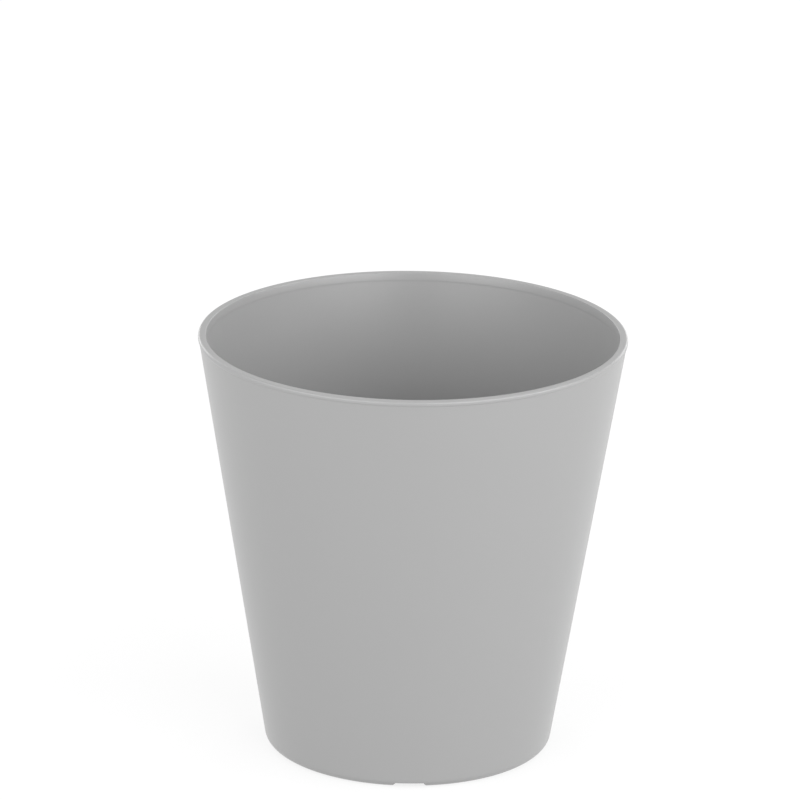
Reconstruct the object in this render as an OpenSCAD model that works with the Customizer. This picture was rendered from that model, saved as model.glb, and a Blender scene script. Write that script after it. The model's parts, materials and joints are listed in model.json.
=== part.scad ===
// Self-watering planter: a tapered pot with a lift-out water system.
// The origin is the centre of the face that the pot stands on, and +Z is up.
// The front is -Y, where the fill tube and the level gauge stand.

/* [Pot] */
// Height of the pot
pot_h = 200; // [198:1:206]
// Outer radius of the rim
rim_r = 100; // [99:0.5:103]
// Outer radius that the tapered wall would have at its foot
foot_r = 67.1; // [67:0.1:69]
// Thickness of the floor, and of the wall at its foot
wall = 2.45; // [2.2:0.05:2.5]
// Radius of the rounded corner at the foot
foot_round = 4.5; // [3:0.5:5]
// Height of the foot ring under the floor
foot_h = 3; // [2.5:0.5:3]

/* [Lip] */
// Height of the lip band on the outside
lip_h = 2.4; // [2.2:0.1:3]
// How far the lip stands proud of the wall on the outside
lip_out = 0.5; // [0.3:0.1:0.6]
// Thickness of the lip
lip_t = 3.7; // [3.3:0.05:4]

/* [Drain notches] */
// Width of a notch in the foot ring, at its foot
notch_w = 16; // [10:1:20]
// Height of a notch
notch_h = 2.3; // [1:0.1:2.5]

/* [Water system] */
// Height of the separator's underside above the ground
plate_z = 52; // [52:0.5:54]
// Height of the overflow's edge, which is the full water level
full_z = 34; // [30:1:34]
// How far the float rises between empty and full
float_travel = 25; // [18:1:25]
// Height of the fill tube's mouth
mouth_z = 166; // [160:1:170]

/* [Hidden] */
$fn = 64;

// Colours
pot_grey = "#b2b2b2";
part_grey = "#4a4d50";
rubber_black = "#202020";
felt_grey = "#8d8a84";
marker_red = "#c62f24";
float_white = "#ececea";
window_clear = [0.85, 0.92, 0.95, 0.4];
pin_steel = "#c0c0c0";

// The wall is a cone that leans out as it rises
neck_z = pot_h - lip_h;
neck_r = rim_r - lip_out;
slope = (neck_r - foot_r) / neck_z;
lean = atan(slope);
floor_z = foot_h + wall;
inner_round = 4;
ring_w = 3;
ring_draft = 0.4;

// The lip swells out from the wall, and its inner face is crowned from a tilt of
// crown_tilt at the top to the wall's own lean, where a short upright land ends it
swell_r = 1.8;
swell_a = acos(1 - lip_out / swell_r);
lip_round_out = 0.95;
lip_round_in = 0.3;
crown_tilt = 15;
crown_r = 34;
land_h = 0.5;
lip_in_r = rim_r - lip_t;
crown_x = lip_in_r + lip_round_in + (crown_r - lip_round_in) * cos(crown_tilt);
crown_z = pot_h - lip_round_in - (crown_r - lip_round_in) * sin(crown_tilt);

// The wall grows thicker from its foot up to the lip
inner_foot_r = foot_r - wall / cos(lean);
inner_top_r = crown_x - crown_r * cos(lean);
inner_top_z = crown_z + crown_r * sin(lean) - land_h;
inner_slope = (inner_top_r - inner_foot_r) / inner_top_z;
inner_lean = atan(inner_slope);
notch_flare = 1.5;

// Clearances
gap = 0.3;
fit = 0.08;
loose = 0.1;

// Overflow
pipe_r = 6;
pipe_bore = 4.5;
drain_r = 8;
grommet_r = 10.3;
grommet_lip = 1.5;
plug_depth = 5.5;

// Separator
plate_t = 2;
plate_top = plate_z + plate_t;
plate_rim_h = 8;
plate_rim_t = 1.5;
rib_h = 3;
rib_t = 1.6;
hub_r = 22;
rib_count = 9;
sector = 360 / rib_count;
hole_r = 2.1;
boss_h = 6;
collar_h = 2;

// Where things stand on the separator: distance from the middle and angle
basket_at = [[44, 10], [44, 90], [44, 170]];
leg_at = [[56, 50], [56, 130], [56, 210], [56, 330]];
tube_x = 18;
tube_y = -49;
fill_pos = [tube_x, tube_y];
gauge_pos = [-tube_x, tube_y];

// Baskets and wicks
basket_r = 13.9;
basket_tip_r = 11;
basket_t = 1.5;
basket_lip_r = 16.5;
basket_z = 10;
slot_w = 3;
wick_w = 14;
wick_t = 2;

// Fill tube and its cap
fill_r = 11;
fill_bore = 9.4;
flare_h = 10;
flare = 3.5;
cap_r = 14.9;
cap_t = 2;
pin_r = 1.25;
pin_back = 18.2;
pin_z = mouth_z + 1;
knuckle_r = 2.8;
knuckle_w = 7;
lug_w = 3;

// Gauge
gauge_r = 6;
gauge_bore = 4.2;
gauge_top = 134;
window_r = 7.4;
window_bore = 5.6;
window_z = gauge_top - 4;
window_top = 172;
marker_z = gauge_top + 2;
marker_h = 6;
marker_r = 4.6;
rod_r = 1.5;
cage_r = 12.5;
cage_bore = 10.7;
cage_z = 10;
float_r = 9.8;
float_z = 12;
float_h = 12;

// Outer and inner radius of the wall at a height
function wall_r(z) = foot_r + slope * z;
function inner_r(z) = inner_foot_r + inner_slope * z;

// Points along an arc from angle a to angle b
function arc(x, y, r, a, b, steps = 8) =
    [for (i = [0 : steps]) let (t = a + (b - a) * i / steps) [x + r * cos(t), y + r * sin(t)]];

// A place given as distance and angle, and whether it is clear of a round thing
function spot(p) = [p[0] * cos(p[1]), p[0] * sin(p[1])];
function away(p, q, r) = norm(p - q) > r;

// True where a drain hole through the separator meets nothing
function open_here(p) =
    len([for (b = basket_at) if (!away(p, spot(b), basket_lip_r + hole_r + 0.6)) 1]) == 0
    && len([for (l = leg_at) if (!away(p, spot(l), 5 + hole_r + 0.6)) 1]) == 0
    && away(p, fill_pos, fill_r + 2.5 + hole_r + 0.6)
    && away(p, gauge_pos, cage_r + hole_r + 0.6);

module at(p, z = 0) {
    translate([p[0], p[1], z]) children();
}

// A disc whose top edge is rounded
module soft_disc(r, h, edge) {
    rotate_extrude() polygon(concat([[0, 0], [r, 0]], arc(r - edge, h - edge, edge, 0, 90, 5), [[0, h]]));
}

module tube(r, bore, h) {
    difference() {
        cylinder(r = r, h = h);
        translate([0, 0, -1]) cylinder(r = bore, h = h + 2);
    }
}

// ---- Pot ----

// Half section of the pot: up the outside, over the lip, down the inside
function pot_section() = concat(
    arc(wall_r(foot_round) - foot_round / cos(lean), foot_round, foot_round, -90, -lean),
    arc(rim_r - swell_r, neck_z + swell_r * sin(swell_a), swell_r, -swell_a, 0, 6),
    arc(rim_r - lip_round_out, pot_h - lip_round_out, lip_round_out, 0, 90),
    arc(lip_in_r + lip_round_in, pot_h - lip_round_in, lip_round_in, 90, 180 - crown_tilt, 5),
    arc(crown_x, crown_z, crown_r, 180 - crown_tilt, 180 - lean, 6),
    [[inner_top_r, inner_top_z]],
    arc(inner_r(floor_z + inner_round) - inner_round / cos(inner_lean), floor_z + inner_round,
        inner_round, -inner_lean, -90),
    [[0, floor_z], [0, foot_h], [foot_r - foot_round - ring_w - ring_draft, foot_h],
     [foot_r - foot_round - ring_w + ring_draft, 0]]
);

// A trapezoid channel through the foot ring, along +X
module notch() {
    translate([foot_r - 15, 0, 0]) rotate([90, 0, 90]) linear_extrude(height = 25)
        polygon([[-notch_w / 2, -1], [notch_w / 2, -1], [notch_w / 2, 0],
                 [notch_w / 2 - notch_flare, notch_h], [notch_flare - notch_w / 2, notch_h],
                 [-notch_w / 2, 0]]);
}

module outer_pot() {
    color(pot_grey) difference() {
        rotate_extrude($fn = 180) polygon(pot_section());
        for (a = [0 : 90 : 270]) rotate(a) notch();
        cylinder(r = drain_r, h = floor_z + 1);
    }
}

// ---- Overflow ----

module overflow_pipe() {
    seat_z = floor_z + grommet_lip + gap;
    color(part_grey) difference() {
        union() {
            translate([0, 0, 1]) soft_disc(pipe_r, full_z - 1, 0.5);
            translate([0, 0, seat_z]) soft_disc(pipe_r + 3.5, 1.5, 0.6);
        }
        cylinder(r = pipe_bore, h = full_z + 1);
    }
}

module overflow_grommet() {
    low = foot_h - grommet_lip;
    high = floor_z + grommet_lip + gap;
    color(rubber_black) rotate_extrude()
        polygon([[pipe_r, low], [grommet_r - gap, low], [grommet_r, low + gap],
                 [grommet_r, foot_h], [drain_r, foot_h], [drain_r, floor_z],
                 [grommet_r, floor_z], [grommet_r, high - gap], [grommet_r - gap, high],
                 [pipe_r, high]]);
}

module drain_plug() {
    tab_r = 3.4;
    color(rubber_black) difference() {
        union() {
            translate([0, 0, full_z - plug_depth]) cylinder(r = pipe_bore - fit, h = plug_depth + 1);
            translate([0, 0, full_z + gap]) soft_disc(pipe_r + 0.6, 1.6, 0.6);
            translate([-1.2, -tab_r, full_z + 1]) cube([2.4, 2 * tab_r, 2.6]);
            translate([-1.2, 0, full_z + 3.6]) rotate([0, 90, 0]) cylinder(r = tab_r, h = 2.4);
        }
        translate([-2, 0, full_z + 4.1]) rotate([0, 90, 0]) cylinder(r = 1.6, h = 4);
    }
}

// ---- Separator ----

module separator_holes() {
    for (r = [30, 38, 46, 54, 62, 68]) {
        per_sector = floor(r * sector * PI / 180 / 8.4);
        for (s = [0 : rib_count - 1], i = [0 : per_sector - 1]) {
            place = spot([r, 30 + sector * s + sector * (i + 0.5) / per_sector]);
            if (open_here(place)) at(place, plate_z - 1) cylinder(r = hole_r, h = plate_t + 2, $fn = 24);
        }
    }
    for (i = [0 : 7]) at(spot([15, 45 * i]), plate_z - 1) cylinder(r = hole_r, h = plate_t + 2, $fn = 24);
}

module separator_plate() {
    rim_foot = inner_r(plate_z) - 2 * gap;
    rim_top = inner_r(plate_z + plate_rim_h) - 2 * gap;
    color(part_grey) difference() {
        union() {
            rotate_extrude($fn = 120)
                polygon(concat([[0, plate_z], [rim_foot - 1, plate_z], [rim_foot, plate_z + 1]],
                    arc(rim_top - plate_rim_t / 2, plate_z + plate_rim_h - plate_rim_t / 2,
                        plate_rim_t / 2, 0, 180),
                    arc(rim_foot - plate_rim_t - 2, plate_top + 2, 2, -inner_lean, -90, 4),
                    [[0, plate_top]]));
            for (s = [0 : rib_count - 1]) rotate(30 + sector * s)
                translate([hub_r, -rib_t / 2, plate_z - rib_h]) cube([69 - hub_r, rib_t, rib_h + 1]);
            translate([0, 0, plate_z - rib_h]) tube(hub_r + rib_t, hub_r, rib_h + 1);
            translate([0, 0, plate_z - rib_h]) tube(69 + rib_t, 69, rib_h + 1);
            at(fill_pos, plate_top - 1) soft_disc(fill_r + 2.5, boss_h + 1, 0.8);
            at(gauge_pos, plate_top - 1) soft_disc(gauge_r + 2.5, boss_h + 1, 0.8);
        }
        separator_holes();
        for (b = basket_at) at(spot(b), plate_z - 1) cylinder(r = basket_r + loose, h = plate_t + 2);
        for (l = leg_at) at(spot(l), plate_z - 1) cylinder(r = 3, h = plate_t + 2);
        at(fill_pos, plate_z - 1) cylinder(r = fill_r + loose, h = boss_h + 4);
        at(gauge_pos, plate_z - 1) cylinder(r = gauge_r + loose, h = boss_h + 4);
    }
}

// A push-in leg: stud, shoulder under the separator, tapered shank and foot pad
module support_leg(i) {
    foot = floor_z + gap;
    color(part_grey) at(spot(leg_at[i])) rotate_extrude()
        polygon([[0, foot], [5, foot], [5, foot + 1.5], [3.4, foot + 3], [4, plate_z - 3],
                 [5, plate_z - 2], [5, plate_z], [3 - loose, plate_z], [3 - loose, plate_top + 1],
                 [2.2, plate_top + 1.8], [0, plate_top + 1.8]]);
}

module wick_basket(i) {
    color(part_grey) at(spot(basket_at[i])) difference() {
        rotate_extrude()
            polygon(concat(
                [[0, basket_z]],
                arc(basket_tip_r - 1, basket_z + 1, 1, -90, 0, 4),
                [[basket_r - gap, plate_z - 2], [basket_r, plate_z], [basket_r, plate_top],
                 [basket_lip_r, plate_top]],
                arc(basket_lip_r - 1, plate_top + basket_t - 1, 1, 0, 90, 5),
                arc(basket_r - basket_t + 0.5, plate_top + basket_t - 0.5, 0.5, 90, 180, 3),
                [[basket_r - basket_t, plate_z],
                 [basket_tip_r - basket_t, basket_z + basket_t], [0, basket_z + basket_t]]));
        for (a = [0 : 45 : 315]) rotate(a + 22.5) translate([basket_tip_r - 4, -slot_w / 2, basket_z + 5])
            cube([8, slot_w, plate_z - basket_z - 12]);
        for (a = [0 : 60 : 300]) rotate(a) translate([5.5, 0, basket_z - 1])
            cylinder(r = 1.5, h = basket_t + 2, $fn = 24);
        translate([0, 0, basket_z - 1]) cylinder(r = 1.5, h = basket_t + 2, $fn = 24);
    }
}

// A felt strip that lies on the separator, crosses the basket's lip and hangs to its bottom
module wick_strip(i) {
    near = basket_at[i][0] - sqrt(pow(basket_r - basket_t, 2) - pow(wick_w / 2, 2));
    far = basket_at[i][0] - sqrt(pow(basket_tip_r - basket_t, 2) - pow(wick_w / 2, 2)) + 2 * gap;
    lip_edge = basket_at[i][0] - basket_lip_r;
    over = plate_top + basket_t + loose;
    low = basket_z + basket_t + 1;
    color(felt_grey) rotate(basket_at[i][1]) translate([0, wick_w / 2, 0]) rotate([90, 0, 0])
        linear_extrude(height = wick_w)
            polygon([[14, plate_top + loose], [lip_edge - 1.5, plate_top + loose],
                     [lip_edge - 0.3, over], [near - gap, over], [near + gap, over - 1],
                     [far, low], [far + wick_t, low], [near + wick_t + gap, over],
                     [near + gap, over + wick_t], [lip_edge - 1.1, over + wick_t],
                     [lip_edge - 2.3, plate_top + loose + wick_t], [14, plate_top + loose + wick_t]]);
}

// ---- Fill tube ----

module fill_tube() {
    low = 12;
    seat = plate_top + boss_h;
    color(part_grey) at(fill_pos) difference() {
        union() {
            rotate_extrude()
                polygon(concat(
                    [[0, low], [fill_r, low], [fill_r, seat], [fill_r + 2.2, seat]],
                    arc(fill_r + 1.2, seat + collar_h - 1, 1, 0, 90, 4),
                    [[fill_r, seat + collar_h], [fill_r, mouth_z - flare_h],
                     [fill_r + flare, mouth_z - 0.6], [fill_r + flare - 0.4, mouth_z], [0, mouth_z]]));
            for (side = [-1, 1]) translate([side * (knuckle_w / 2 + gap + lug_w / 2), -pin_back, 0]) {
                translate([-lug_w / 2, 0, mouth_z - 4]) cube([lug_w, 8, 4]);
                translate([-lug_w / 2, -knuckle_r, mouth_z - 4]) cube([lug_w, 2 * knuckle_r, 5]);
                translate([-lug_w / 2, 0, pin_z]) rotate([0, 90, 0]) cylinder(r = knuckle_r, h = lug_w);
            }
        }
        rotate_extrude()
            polygon([[0, low - 1], [fill_bore, low - 1], [fill_bore, mouth_z - flare_h],
                     [fill_bore + flare, mouth_z], [fill_bore + flare, mouth_z + 1], [0, mouth_z + 1]]);
        for (a = [0, 90]) rotate(a + 45) translate([-fill_r - 1, -3, low - 1])
            cube([2 * fill_r + 2, 6, 11]);
        translate([-20, -pin_back, pin_z]) rotate([0, 90, 0]) cylinder(r = pin_r, h = 40);
    }
}

module fill_cap() {
    under = mouth_z + gap;
    color(part_grey) at(fill_pos) difference() {
        union() {
            translate([0, 0, under]) rotate_extrude()
                polygon(concat([[0, 0]], arc(cap_r - 0.4, 0.4, 0.4, -90, 0, 3),
                    arc(cap_r - 0.9, cap_t - 0.9, 0.9, 0, 90, 5),
                    [[cap_r - 2.2, cap_t], [cap_r - 3.2, cap_t - 0.5], [0, cap_t - 0.5]]));
            translate([0, 0, under - 2]) tube(12.2, 10.8, 2.5);
            translate([-4, cap_r - 2, under]) cube([8, 3, 1.4]);
            translate([0, cap_r + 1, under]) cylinder(r = 4, h = 1.4);
            translate([-knuckle_w / 2, -pin_back, under]) cube([knuckle_w, 6, cap_t]);
            translate([-knuckle_w / 2, -pin_back, pin_z]) rotate([0, 90, 0])
                cylinder(r = knuckle_r, h = knuckle_w);
        }
        translate([-20, -pin_back, pin_z]) rotate([0, 90, 0]) cylinder(r = pin_r + fit, h = 40);
    }
}

module cap_pin() {
    half = knuckle_w / 2 + gap + lug_w;
    color(pin_steel) at(fill_pos) translate([0, -pin_back, pin_z]) rotate([0, 90, 0]) {
        translate([0, 0, -half]) cylinder(r = pin_r, h = 2 * half);
        translate([0, 0, half]) cylinder(r = pin_r + 0.7, h = 0.8);
    }
}

// ---- Level gauge ----

module gauge_tube() {
    seat = plate_top + boss_h;
    color(part_grey) at(gauge_pos) rotate_extrude()
        polygon(concat(
            [[rod_r + fit, seat], [gauge_bore, seat - 3], [gauge_bore, plate_z - 1.6],
             [gauge_r, plate_z - 1.6], [gauge_r, seat], [gauge_r + 2.2, seat]],
            arc(gauge_r + 1.2, seat + collar_h - 1, 1, 0, 90, 4),
            [[gauge_r, seat + collar_h], [gauge_r, gauge_top], [gauge_bore, gauge_top],
             [gauge_bore, seat + 5], [rod_r + fit, seat + 2]]));
}

module gauge_window() {
    ring_t = 0.25;
    low_mark = marker_z + marker_h / 2;
    color(window_clear) at(gauge_pos) {
        rotate_extrude()
            polygon(concat(
                [[gauge_r, window_z], [window_r + 0.8, window_z], [window_r + 0.8, window_z + 2.4],
                 [window_r, window_z + 3.2]],
                arc(window_r - 4, window_top - 4, 4, 0, 90),
                [[0, window_top]],
                [[0, window_top - 1.6]],
                arc(window_bore - 3, window_top - 4.6, 3, 90, 0),
                [[window_bore, gauge_top], [gauge_r, gauge_top]]));
        for (z = [low_mark, low_mark + float_travel]) translate([0, 0, z - 0.5])
            tube(window_r + ring_t, window_r - 0.5, 1);
    }
}

module float_cage() {
    top_t = 1.6;
    color(part_grey) at(gauge_pos) difference() {
        translate([0, 0, cage_z]) cylinder(r = cage_r, h = plate_z - cage_z);
        translate([0, 0, cage_z - 1]) cylinder(r = cage_bore, h = plate_z - cage_z - top_t + 1);
        translate([0, 0, plate_z - top_t - 1]) cylinder(r = gauge_r, h = top_t + 2);
        for (a = [0 : 60 : 120]) rotate(a) translate([-cage_r - 1, -2, cage_z + 4])
            cube([2 * cage_r + 2, 4, 30]);
    }
}

module cage_base() {
    color(part_grey) at(gauge_pos, cage_z - 1.5) difference() {
        union() {
            cylinder(r = cage_r, h = 1.5);
            translate([0, 0, 1]) tube(cage_bore - loose, cage_bore - 1.3, 2.3);
            for (a = [0 : 60 : 120]) rotate(a) translate([-9, -0.6, 1]) cube([18, 1.2, 2.2]);
        }
        for (a = [0 : 60 : 300]) rotate(a + 30) translate([6, 0, -1]) cylinder(r = 1.8, h = 4, $fn = 24);
    }
}

// Two rings joined by a web, on the fill tube and on the gauge
module tube_clip() {
    clip_z = 118;
    clip_h = 6;
    clip_t = 1.8;
    color(part_grey) difference() {
        union() {
            at(fill_pos, clip_z) soft_disc(fill_r + clip_t, clip_h, 0.7);
            at(gauge_pos, clip_z) soft_disc(gauge_r + clip_t, clip_h, 0.7);
            translate([-tube_x, tube_y - 1.2, clip_z]) cube([2 * tube_x, 2.4, clip_h]);
        }
        at(fill_pos, clip_z - 1) cylinder(r = fill_r, h = clip_h + 2);
        at(gauge_pos, clip_z - 1) cylinder(r = gauge_r, h = clip_h + 2);
    }
}

module float() {
    edge = 1.5;
    color(float_white) at(gauge_pos) difference() {
        rotate_extrude()
            polygon(concat([[0, float_z]],
                arc(float_r - edge, float_z + edge, edge, -90, 0),
                arc(float_r - edge, float_z + float_h - edge, edge, 0, 90),
                [[0, float_z + float_h]]));
        translate([0, 0, float_z + 1]) cylinder(r = rod_r, h = float_h);
    }
}

module float_rod() {
    color(float_white) at(gauge_pos, float_z + 1)
        cylinder(r = rod_r, h = marker_z + marker_h - 1 - float_z - 1);
}

module level_marker() {
    edge = 1;
    color(marker_red) at(gauge_pos) difference() {
        rotate_extrude()
            polygon(concat([[0, marker_z]],
                arc(marker_r - edge, marker_z + edge, edge, -90, 0, 4),
                arc(marker_r - edge, marker_z + marker_h - edge, edge, 0, 90, 4),
                [[0, marker_z + marker_h]]));
        translate([0, 0, marker_z - 1]) cylinder(r = rod_r, h = marker_h);
    }
}

outer_pot();
overflow_pipe();
overflow_grommet();
drain_plug();
separator_plate();
support_leg(0);  // support_leg_1
support_leg(1);  // support_leg_2
support_leg(2);  // support_leg_3
support_leg(3);  // support_leg_4
wick_basket(0);  // wick_basket_1
wick_basket(1);  // wick_basket_2
wick_basket(2);  // wick_basket_3
wick_strip(0);  // wick_strip_1
wick_strip(1);  // wick_strip_2
wick_strip(2);  // wick_strip_3
fill_tube();
fill_cap();
cap_pin();
gauge_tube();
gauge_window();
float_cage();
cage_base();
tube_clip();
float();
float_rod();
level_marker();
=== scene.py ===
import json
import math

import bmesh
import bpy
from mathutils import Matrix, Vector, noise

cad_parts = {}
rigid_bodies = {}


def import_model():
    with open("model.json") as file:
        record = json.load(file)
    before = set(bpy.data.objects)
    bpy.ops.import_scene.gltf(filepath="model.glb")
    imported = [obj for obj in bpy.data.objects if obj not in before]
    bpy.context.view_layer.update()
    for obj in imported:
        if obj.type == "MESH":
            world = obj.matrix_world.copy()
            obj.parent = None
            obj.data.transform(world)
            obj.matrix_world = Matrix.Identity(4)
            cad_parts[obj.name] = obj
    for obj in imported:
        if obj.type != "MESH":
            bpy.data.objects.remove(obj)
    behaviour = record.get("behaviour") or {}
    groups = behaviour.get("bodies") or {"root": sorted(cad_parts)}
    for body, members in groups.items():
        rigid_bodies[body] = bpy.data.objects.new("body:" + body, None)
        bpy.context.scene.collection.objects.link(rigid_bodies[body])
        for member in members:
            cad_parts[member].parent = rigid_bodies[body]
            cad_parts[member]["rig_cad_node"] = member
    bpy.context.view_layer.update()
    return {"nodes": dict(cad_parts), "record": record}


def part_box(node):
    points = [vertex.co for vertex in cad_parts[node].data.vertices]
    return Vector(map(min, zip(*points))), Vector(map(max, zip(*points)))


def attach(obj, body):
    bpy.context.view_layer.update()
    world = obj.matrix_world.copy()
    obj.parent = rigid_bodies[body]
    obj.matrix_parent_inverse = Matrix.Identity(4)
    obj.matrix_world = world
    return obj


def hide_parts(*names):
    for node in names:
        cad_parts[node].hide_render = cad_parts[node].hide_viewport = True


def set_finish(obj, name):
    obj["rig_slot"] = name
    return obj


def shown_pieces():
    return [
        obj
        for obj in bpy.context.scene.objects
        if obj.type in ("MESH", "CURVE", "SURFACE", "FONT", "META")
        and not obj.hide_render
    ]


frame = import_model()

MM = 0.001

# ---- Sizes of the pot, in metres, as on its CAD part ----
POT_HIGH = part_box("outer_pot")[1]
POT_H = POT_HIGH.z
RIM_R = POT_HIGH.x
FOOT_R = 67.1 * MM
WALL = 2.45 * MM
FOOT_ROUND = 4.5 * MM
FOOT_H = 3.0 * MM
FOOT_RING_W = 3.0 * MM
FOOT_RING_DRAFT = 0.4 * MM
INNER_ROUND = 4.0 * MM
LIP_H = 2.4 * MM
LIP_OUT = 0.5 * MM
LIP_T = 3.7 * MM
LIP_SWELL_R = 1.8 * MM
LIP_ROUND_OUT = 0.95 * MM
LIP_ROUND_IN = 0.3 * MM
CROWN_TILT = math.radians(15)
CROWN_R = 34.0 * MM
LAND_H = 0.5 * MM
NOTCH_W = 16.0 * MM
NOTCH_H = 2.3 * MM
NOTCH_FLARE = 1.5 * MM
DRAIN_R = 8.0 * MM

NECK_Z = POT_H - LIP_H
NECK_R = RIM_R - LIP_OUT
SLOPE = (NECK_R - FOOT_R) / NECK_Z
LEAN = math.atan(SLOPE)
FLOOR_Z = FOOT_H + WALL
LIP_IN_R = RIM_R - LIP_T
CROWN_X = LIP_IN_R + LIP_ROUND_IN + (CROWN_R - LIP_ROUND_IN) * math.cos(CROWN_TILT)
CROWN_Z = POT_H - LIP_ROUND_IN - (CROWN_R - LIP_ROUND_IN) * math.sin(CROWN_TILT)
INNER_FOOT_R = FOOT_R - WALL / math.cos(LEAN)
INNER_TOP_R = CROWN_X - CROWN_R * math.cos(LEAN)
INNER_TOP_Z = CROWN_Z + CROWN_R * math.sin(LEAN) - LAND_H
INNER_SLOPE = (INNER_TOP_R - INNER_FOOT_R) / INNER_TOP_Z
INNER_LEAN = math.atan(INNER_SLOPE)

# ---- Camera, as the photograph was taken: azimuth and elevation seen from the pot, then its own turns ----
CAMERA_DISTANCE = 3.027
CAMERA_AZIMUTH = math.radians(-1.0)
CAMERA_ELEVATION = math.radians(19.67)
CAMERA_PITCH = math.radians(18.454)
CAMERA_YAW = math.radians(-0.114)
CAMERA_ROLL = math.radians(0.75)
CAMERA_LENS_MM = 289.8
CAMERA_SENSOR_MM = 36
CAMERA_CLIP = (0.1, 50)


# ---- Helpers ----

# Straight runs of an outline: the length of their steps, and of the short first and last ones
RUN_STEP = 6 * MM
END_STEP = 0.3 * MM


def wall_radius(z):
    return FOOT_R + SLOPE * z


def inner_radius(z):
    return INNER_FOOT_R + INNER_SLOPE * z


def arc(x, y, r, start, end, steps=12):
    """Points along a circle's arc, angles in degrees, both ends included."""
    angles = [math.radians(start + (end - start) * i / steps) for i in range(steps + 1)]
    return [(x + r * math.cos(a), y + r * math.sin(a)) for a in angles]


def line(a, b):
    """Points between a and b, both left out, closest near the ends so that shading stays flat between."""
    length = math.dist(a, b)
    if length < 4 * RUN_STEP:
        return []
    near = END_STEP / length
    count = round(length / RUN_STEP)
    shares = [near] + [i / count for i in range(1, count)] + [1 - near]
    return [(a[0] + (b[0] - a[0]) * s, a[1] + (b[1] - a[1]) * s) for s in shares]


def joined(*runs):
    """One outline from several runs of points, with lines between them divided into steps."""
    points = []
    for run in runs:
        if points:
            points += line(points[-1], run[0])
        points += run
    return points


def make_object(name, bm, sharp_deg=30.0):
    mesh = bpy.data.meshes.new(name)
    bmesh.ops.recalc_face_normals(bm, faces=bm.faces)
    for face in bm.faces:
        face.smooth = True
    bm.to_mesh(mesh)
    bm.free()
    mesh.set_sharp_from_angle(angle=math.radians(sharp_deg))
    piece = bpy.data.objects.new(name, mesh)
    bpy.context.scene.collection.objects.link(piece)
    return piece


def lathe(bm, outline, angles):
    """Turns a closed outline of (radius, height) about Z, at the given angles."""
    rings = [
        [bm.verts.new((r * math.cos(a), r * math.sin(a), z)) for r, z in outline]
        for a in angles
    ]
    count = len(outline)
    for i, ring in enumerate(rings):
        following = rings[(i + 1) % len(rings)]
        for j in range(count):
            k = (j + 1) % count
            bm.faces.new((ring[j], following[j], following[k], ring[k]))


# ---- Pot ----

POT_STEPS = 288
# The closer steps at a notch's ends, as shares of half its width
NOTCH_END_FROM = 0.72
NOTCH_END_SPAN = 0.42
NOTCH_END_STEPS = 24
# Angles are rounded, so that no two of them nearly coincide
ANGLE_DIGITS = 5


def pot_outline():
    """Half section of the pot: up the outside, over the lip, down the inside and back under the foot."""
    lean = math.degrees(LEAN)
    foot_x = wall_radius(FOOT_ROUND) - FOOT_ROUND / math.cos(LEAN)
    swell = math.acos(1 - LIP_OUT / LIP_SWELL_R)
    swell_z = NECK_Z + LIP_SWELL_R * math.sin(swell)
    tilt = math.degrees(CROWN_TILT)
    corner_z = FLOOR_Z + INNER_ROUND
    corner_x = inner_radius(corner_z) - INNER_ROUND / math.cos(INNER_LEAN)
    ring_in = FOOT_R - FOOT_ROUND - FOOT_RING_W
    return joined(
        arc(foot_x, FOOT_ROUND, FOOT_ROUND, -90, -lean),
        arc(RIM_R - LIP_SWELL_R, swell_z, LIP_SWELL_R, -math.degrees(swell), 0, 8),
        arc(RIM_R - LIP_ROUND_OUT, POT_H - LIP_ROUND_OUT, LIP_ROUND_OUT, 0, 90),
        arc(LIP_IN_R + LIP_ROUND_IN, POT_H - LIP_ROUND_IN, LIP_ROUND_IN, 90, 180 - tilt, 8)
        + arc(CROWN_X, CROWN_Z, CROWN_R, 180 - tilt, 180 - lean, 10)[1:],
        [(INNER_TOP_R, INNER_TOP_Z)],
        arc(corner_x, corner_z, INNER_ROUND, -math.degrees(INNER_LEAN), -90),
        [(DRAIN_R, FLOOR_Z)],
        [(DRAIN_R, FOOT_H)],
        [(ring_in - FOOT_RING_DRAFT, FOOT_H)],
        [(ring_in + FOOT_RING_DRAFT, 0.0)],
    )


def pot_angles():
    """Even steps round the pot, with closer ones where a notch's sloping ends are."""
    full_turn = 2 * math.pi
    even = [full_turn * i / POT_STEPS for i in range(POT_STEPS)]
    end = math.asin(NOTCH_W / 2 / FOOT_R)
    near = [end * (NOTCH_END_FROM + NOTCH_END_SPAN * i / NOTCH_END_STEPS) for i in range(NOTCH_END_STEPS + 1)]
    close = [quarter * math.pi / 2 + side * a for quarter in range(4) for side in (-1, 1) for a in near]
    return sorted({round(a % full_turn, ANGLE_DIGITS) for a in even + close})


def notch_height(x, y):
    """Height that the foot ring is cut up to at a place, and 0 outside the notches."""
    across = min(abs(x), abs(y))
    rise = (NOTCH_W / 2 - across) / NOTCH_FLARE
    return NOTCH_H * max(0.0, min(1.0, rise))


def build_pot():
    bm = bmesh.new()
    lathe(bm, pot_outline(), pot_angles())
    inner_edge = FOOT_R - FOOT_ROUND - FOOT_RING_W - 2 * FOOT_RING_DRAFT
    for vert in bm.verts:
        x, y, z = vert.co
        if math.hypot(x, y) > inner_edge and z < NOTCH_H:
            vert.co.z = max(z, notch_height(x, y))
    pot = make_object("pot_shell", bm)
    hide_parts("outer_pot")
    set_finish(pot, "pot_plastic")
    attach(pot, "pot")


# ---- Felt wicks ----

WICK_W = 14 * MM
WICK_T = 2.0 * MM
WICK_START = 14 * MM
WICK_END = 40.4 * MM
WICK_STEPS_ACROSS = 14
# How far the strip's top rises over the basket's lip, above the part that lies on the separator
WICK_HUMP = 1.5 * MM
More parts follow.
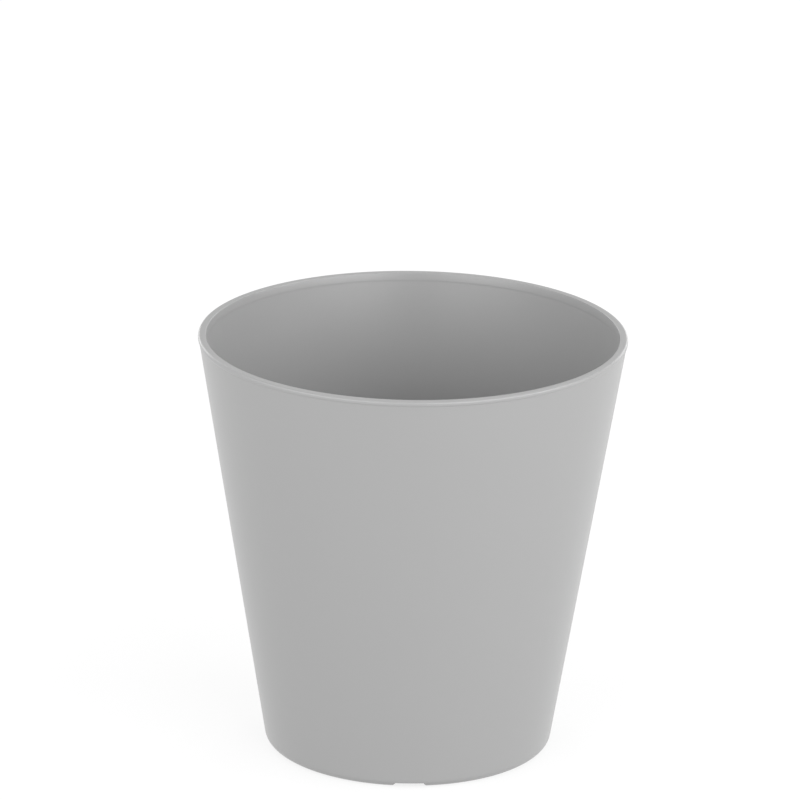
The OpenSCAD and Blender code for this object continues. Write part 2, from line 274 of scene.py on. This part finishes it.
# The strip on the separator and over the lip: mm out from its start, and mm up from the part that lies flat
WICK_BEND = [(0, 0), (5, 0), (9.5, 0.1), (12.6, 0.9), (16.0, 1.6), (19.4, 1.3), (21.7, -1.6), (22.6, -7)]
# Hanging in the basket: how far in from its end the strip is halfway down, and how far in and up when
# it is near its bottom
WICK_HALFWAY_IN = 2.8 * MM
WICK_LOW_IN = 1.3 * MM
WICK_LOW_UP = 8 * MM
# The strip's cut edges: how much thinner they are, how ragged, and how lumpy its faces are
EDGE_THINNING = 0.35
EDGE_SHARPNESS = 8
FRAY = 0.012
LUMP = 0.10 * MM


def smooth_path(points, steps=10):
    """A Catmull-Rom curve through the points."""
    padded = [points[0]] + points + [points[-1]]
    path = []
    for i in range(1, len(padded) - 2):
        a, b, c, d = (Vector(p) for p in padded[i - 1:i + 3])
        for s in range(steps):
            t = s / steps
            path.append(0.5 * (2 * b + (c - a) * t + (2 * a - 5 * b + 4 * c - d) * t ** 2
                               + (3 * b - a - 3 * c + d) * t ** 3))
    path.append(Vector(points[-1]))
    return path


def wick_path(low_z, top_z):
    """The strip's middle line as (distance out, height): along the separator, over the basket's lip, down."""
    rest = top_z - WICK_HUMP - 0.5 * WICK_T
    bend = [(WICK_START + out * MM, rest + up * MM) for out, up in WICK_BEND]
    hanging = [
        (WICK_END - WICK_HALFWAY_IN, 0.5 * (rest + low_z)),
        (WICK_END - WICK_LOW_IN, low_z + WICK_LOW_UP),
        (WICK_END - WICK_T / 2, low_z),
    ]
    return smooth_path(bend + hanging)


def wick_ring(bm, path, i, index, out, side):
    """The strip's cross section at one point of its path, as new vertices."""
    point = path[i]
    before = path[max(i - 1, 0)]
    after = path[min(i + 1, len(path) - 1)]
    along = (after - before).normalized()
    normal = Vector((-along.y, along.x))
    across = WICK_STEPS_ACROSS
    ring = []
    for face, steps in ((1, range(across + 1)), (-1, range(across, -1, -1))):
        for j in steps:
            u = j / across * 2 - 1
            thickness = 1 - EDGE_THINNING * abs(u) ** EDGE_SHARPNESS
            fray = 1 + FRAY * noise.noise(Vector((u * 3, i * 0.8, index * 7.0)))
            lift = face * WICK_T / 2 * thickness
            lift += LUMP * noise.noise(Vector((u * 4, i * 0.5, index * 5.0 + face)))
            place = out * (point.x + normal.x * lift) + side * (u * fray * WICK_W / 2)
            place.z = point.y + normal.y * lift
            ring.append(bm.verts.new(place))
    return ring


def build_wick(index):
    node = f"wick_strip_{index}"
    low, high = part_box(node)
    basket_low, basket_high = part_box(f"wick_basket_{index}")
    centre = (basket_low + basket_high) / 2
    out = Vector((centre.x, centre.y, 0)).normalized()
    side = Vector((-out.y, out.x, 0))
    path = wick_path(low.z, high.z)
    bm = bmesh.new()
    rings = [wick_ring(bm, path, i, index, out, side) for i in range(len(path))]
    for a, b in zip(rings, rings[1:]):
        for j in range(len(a)):
            k = (j + 1) % len(a)
            bm.faces.new((a[j], a[k], b[k], b[j]))
    bm.faces.new(rings[0])
    bm.faces.new(list(reversed(rings[-1])))
    wick = make_object(f"felt_wick_{index}", bm, sharp_deg=60)
    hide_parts(node)
    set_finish(wick, "wick_felt")
    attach(wick, "insert")


# ---- Materials ----

class Nodes:
    """Short calls for building one node material."""

    def __init__(self, name):
        self.material = bpy.data.materials.new(name)
        self.material.use_nodes = True
        self.tree = self.material.node_tree
        self.shader = self.tree.nodes["Principled BSDF"]
        self.coords = self.tree.nodes.new("ShaderNodeTexCoord").outputs["Object"]

    def set(self, **values):
        for key, value in values.items():
            self.shader.inputs[key.replace("_", " ")].default_value = value

    def link(self, a, b):
        self.tree.links.new(a, b)

    def stretched(self, scale):
        mapping = self.tree.nodes.new("ShaderNodeMapping")
        mapping.inputs["Scale"].default_value = scale
        self.link(self.coords, mapping.inputs["Vector"])
        return mapping.outputs["Vector"]

    def noise(self, scale, detail=2.0, roughness=0.5, vector=None):
        node = self.tree.nodes.new("ShaderNodeTexNoise")
        node.inputs["Scale"].default_value = scale
        node.inputs["Detail"].default_value = detail
        node.inputs["Roughness"].default_value = roughness
        self.link(vector or self.coords, node.inputs["Vector"])
        return node.outputs["Fac"]

    def range(self, value, low, high, from_low=0.3, from_high=0.7):
        node = self.tree.nodes.new("ShaderNodeMapRange")
        node.inputs["From Min"].default_value = from_low
        node.inputs["From Max"].default_value = from_high
        node.inputs["To Min"].default_value = low
        node.inputs["To Max"].default_value = high
        self.link(value, node.inputs["Value"])
        return node.outputs["Result"]

    def mix(self, factor, a, b):
        node = self.tree.nodes.new("ShaderNodeMix")
        node.data_type = "RGBA"
        node.inputs["A"].default_value = (*a, 1)
        node.inputs["B"].default_value = (*b, 1)
        self.link(factor, node.inputs["Factor"])
        return node.outputs["Result"]

    def add(self, a, b):
        node = self.tree.nodes.new("ShaderNodeMath")
        node.operation = "ADD"
        self.link(a, node.inputs[0])
        self.link(b, node.inputs[1])
        return node.outputs[0]

    def bump(self, height, distance):
        node = self.tree.nodes.new("ShaderNodeBump")
        node.inputs["Distance"].default_value = distance
        self.link(height, node.inputs["Height"])
        self.link(node.outputs["Normal"], self.shader.inputs["Normal"])


def shade(colour, amount):
    return tuple(c * amount for c in colour)


def moulded_plastic(name, colour, roughness, vary, grain=1400.0, grain_depth=0.012 * MM):
    """Injection-moulded plastic: faint clouding, a fine speckle of pigment and a fine grain."""
    n = Nodes(name)
    clouds = n.noise(30, 2)
    speckle = n.noise(1900, 2, 0.6, n.stretched((1, 1, 1.6)))
    both = n.add(n.range(clouds, 0, 0.25, 0, 1), n.range(speckle, 0, 0.75, 0, 1))
    n.link(n.mix(both, shade(colour, 1 - vary), shade(colour, 1 + vary)), n.shader.inputs["Base Color"])
    n.link(n.range(clouds, roughness - 0.02, roughness + 0.02, 0, 1), n.shader.inputs["Roughness"])
    n.bump(n.noise(grain, 2, 0.6), grain_depth)
    n.set(IOR=1.49)
    return n.material


def rubber(name, colour):
    n = Nodes(name)
    dust = n.range(n.noise(160, 4), 0, 1, 0.35, 0.75)
    n.link(n.mix(dust, shade(colour, 0.85), shade(colour, 1.5)), n.shader.inputs["Base Color"])
    n.link(n.range(n.noise(500, 2), 0.55, 0.72), n.shader.inputs["Roughness"])
    n.bump(n.noise(2200, 2), 0.02 * MM)
    n.set(IOR=1.52)
    return n.material


def felt(name, colour):
    """Needled felt: matted fibres as stretched noise in two directions, with a soft sheen."""
    n = Nodes(name)
    fibres = n.noise(1500, 4, 0.75, n.stretched((1, 1, 0.25)))
    tufts = n.noise(420, 3, 0.6)
    both = n.add(n.range(fibres, 0, 0.6), n.range(tufts, 0, 0.4))
    n.link(n.mix(both, shade(colour, 0.62), shade(colour, 1.25)), n.shader.inputs["Base Color"])
    n.link(n.range(tufts, 0.85, 1.0), n.shader.inputs["Roughness"])
    n.bump(both, 0.5 * MM)
    n.set(Sheen_Weight=0.35, Sheen_Roughness=0.5, Specular_IOR_Level=0.2)
    return n.material


def clear_plastic(name):
    n = Nodes(name)
    haze = n.noise(60, 2)
    n.link(n.mix(haze, (0.90, 0.94, 0.95), (0.97, 0.99, 1.0)), n.shader.inputs["Base Color"])
    n.link(n.range(haze, 0.03, 0.08), n.shader.inputs["Roughness"])
    n.bump(n.noise(300, 2), 0.004 * MM)
    n.set(IOR=1.49, Transmission_Weight=0.92)
    return n.material


def drawn_steel(name, colour):
    n = Nodes(name)
    streaks = n.noise(900, 2, vector=n.stretched((0.05, 1, 1)))
    n.link(n.mix(streaks, shade(colour, 0.9), shade(colour, 1.1)), n.shader.inputs["Base Color"])
    n.link(n.range(streaks, 0.29, 0.40), n.shader.inputs["Roughness"])
    n.bump(streaks, 0.01 * MM)
    n.set(Metallic=1.0)
    return n.material


POT_GREY = (0.260, 0.260, 0.260)
SYSTEM_GREY = (0.062, 0.067, 0.072)
RUBBER_BLACK = (0.016, 0.016, 0.017)
FELT_GREY = (0.36, 0.34, 0.31)
FLOAT_WHITE = (0.74, 0.74, 0.72)
MARKER_RED = (0.56, 0.03, 0.02)
STEEL = (0.62, 0.62, 0.62)


def dress():
    """Gives each piece its finish by its material slot in the record."""
    finishes = {
        "pot_plastic": moulded_plastic(
            "pot_plastic_grey", POT_GREY, 0.31, vary=0.02, grain=3000.0, grain_depth=0.002 * MM),
        "system_plastic": moulded_plastic(
            "system_plastic_dark", SYSTEM_GREY, 0.42, vary=0.06, grain=900.0, grain_depth=0.03 * MM),
        "seal_rubber": rubber("seal_rubber_black", RUBBER_BLACK),
        "wick_felt": felt("wick_felt_grey", FELT_GREY),
        "clear_plastic": clear_plastic("clear_plastic_window"),
        "float_plastic": moulded_plastic(
            "float_plastic_white", FLOAT_WHITE, 0.45, vary=0.03, grain=700.0, grain_depth=0.02 * MM),
        "marker_plastic": moulded_plastic("marker_plastic_red", MARKER_RED, 0.22, vary=0.05),
        "pin_steel": drawn_steel("pin_steel_drawn", STEEL),
    }
    slots = {part["node"]: part["material_slot"] for part in frame["record"]["subparts"]}
    for node, piece in frame["nodes"].items():
        piece.data.materials.clear()
        piece.data.materials.append(finishes[slots[node]])
    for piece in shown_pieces():
        if "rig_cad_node" not in piece:
            piece.data.materials.append(finishes[piece["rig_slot"]])


# ---- Studio ----

WHITE = (1.0, 1.0, 1.0)
FLOOR_HALF_SIZE = 20
FLOOR_GREY = 0.15
FLOOR_GREY_SPREAD = 0.01
FLOOR_GLOW = 0.80
WORLD_STRENGTH = 0.80
SOFTBOX_DISTANCE = 1.6
SOFTBOX_AIM = 0.7
# Name, azimuth from the front (positive to the right), elevation, width, height, power in watts
SOFTBOXES = [
    ("softbox_front_left_low", -40, 14, 1.3, 0.6, 5.7),
    ("softbox_front_left_high", -40, 30, 1.3, 0.6, 6.1),
    ("softbox_front_right_low", 36, 14, 1.3, 0.6, 6.3),
    ("softbox_front_right_high", 36, 30, 1.3, 0.6, 8.9),
    ("softbox_left", -80, 25, 0.9, 0.9, 4.9),
    ("softbox_right", 80, 25, 0.9, 0.9, 10.6),
    ("softbox_back_left", -150, 15, 0.9, 0.9, 5.0),
    ("softbox_back_right", 150, 15, 0.9, 0.9, 4.5),
]


def build_floor():
    """A floor like a light table: most of its white is its own glow, so that shadows on it stay faint."""
    bm = bmesh.new()
    bmesh.ops.create_grid(bm, x_segments=1, y_segments=1, size=FLOOR_HALF_SIZE)
    floor = make_object("studio_floor", bm)
    n = Nodes("studio_floor_white")
    low, high = FLOOR_GREY - FLOOR_GREY_SPREAD, FLOOR_GREY + FLOOR_GREY_SPREAD
    n.link(n.mix(n.noise(0.6, 2), shade(WHITE, low), shade(WHITE, high)), n.shader.inputs["Base Color"])
    n.set(Roughness=0.9, Specular_IOR_Level=0.1, Emission_Color=(*WHITE, 1), Emission_Strength=FLOOR_GLOW)
    floor.data.materials.append(n.material)


def softbox(name, azimuth, elevation, width, height, power):
    """A rectangular light at an azimuth and elevation seen from the pot, aimed at its upper part."""
    a, e = math.radians(azimuth), math.radians(elevation)
    away = Vector((math.sin(a) * math.cos(e), -math.cos(a) * math.cos(e), math.sin(e)))
    data = bpy.data.lights.new(name, "AREA")
    data.shape = "RECTANGLE"
    data.size = width
    data.size_y = height
    data.energy = power
    lamp = bpy.data.objects.new(name, data)
    lamp.location = Vector((0, 0, SOFTBOX_AIM * POT_H)) + away * SOFTBOX_DISTANCE
    lamp.rotation_mode = "QUATERNION"
    lamp.rotation_quaternion = away.to_track_quat("Z", "Y")
    lamp.visible_camera = False
    bpy.context.scene.collection.objects.link(lamp)


def build_world():
    world = bpy.data.worlds.new("studio_world")
    world.use_nodes = True
    background = world.node_tree.nodes["Background"]
    background.inputs["Color"].default_value = (*WHITE, 1)
    background.inputs["Strength"].default_value = WORLD_STRENGTH
    bpy.context.scene.world = world


def build_camera():
    """Puts the camera in front of the pot, and then turns it round the pot by its azimuth."""
    middle = Vector((0, 0, POT_H / 2))
    e, p, yaw = CAMERA_ELEVATION, CAMERA_PITCH, CAMERA_YAW
    place = middle + CAMERA_DISTANCE * Vector((0, -math.cos(e), math.sin(e)))
    forward = Vector((math.sin(yaw) * math.cos(p), math.cos(yaw) * math.cos(p), -math.sin(p)))
    right = Vector((math.cos(yaw), -math.sin(yaw), 0))
    up = right.cross(forward)
    x_axis = math.cos(CAMERA_ROLL) * right + math.sin(CAMERA_ROLL) * up
    y_axis = -math.sin(CAMERA_ROLL) * right + math.cos(CAMERA_ROLL) * up
    turn = Matrix((x_axis, y_axis, -forward)).transposed()
    data = bpy.data.cameras.new("camera")
    data.lens = CAMERA_LENS_MM
    data.sensor_width = CAMERA_SENSOR_MM
    data.clip_start, data.clip_end = CAMERA_CLIP
    camera = bpy.data.objects.new("camera", data)
    camera.matrix_world = (Matrix.Rotation(CAMERA_AZIMUTH, 4, "Z") @ Matrix.Translation(place)
                           @ turn.to_4x4())
    bpy.context.scene.collection.objects.link(camera)
    bpy.context.scene.camera = camera


def build_studio():
    build_world()
    build_floor()
    for placed in SOFTBOXES:
        softbox(*placed)
    bpy.context.scene.view_settings.view_transform = "Standard"
    bpy.context.scene.view_settings.look = "None"


build_camera()
build_pot()
for number in (1, 2, 3):
    build_wick(number)
dress()
build_studio()
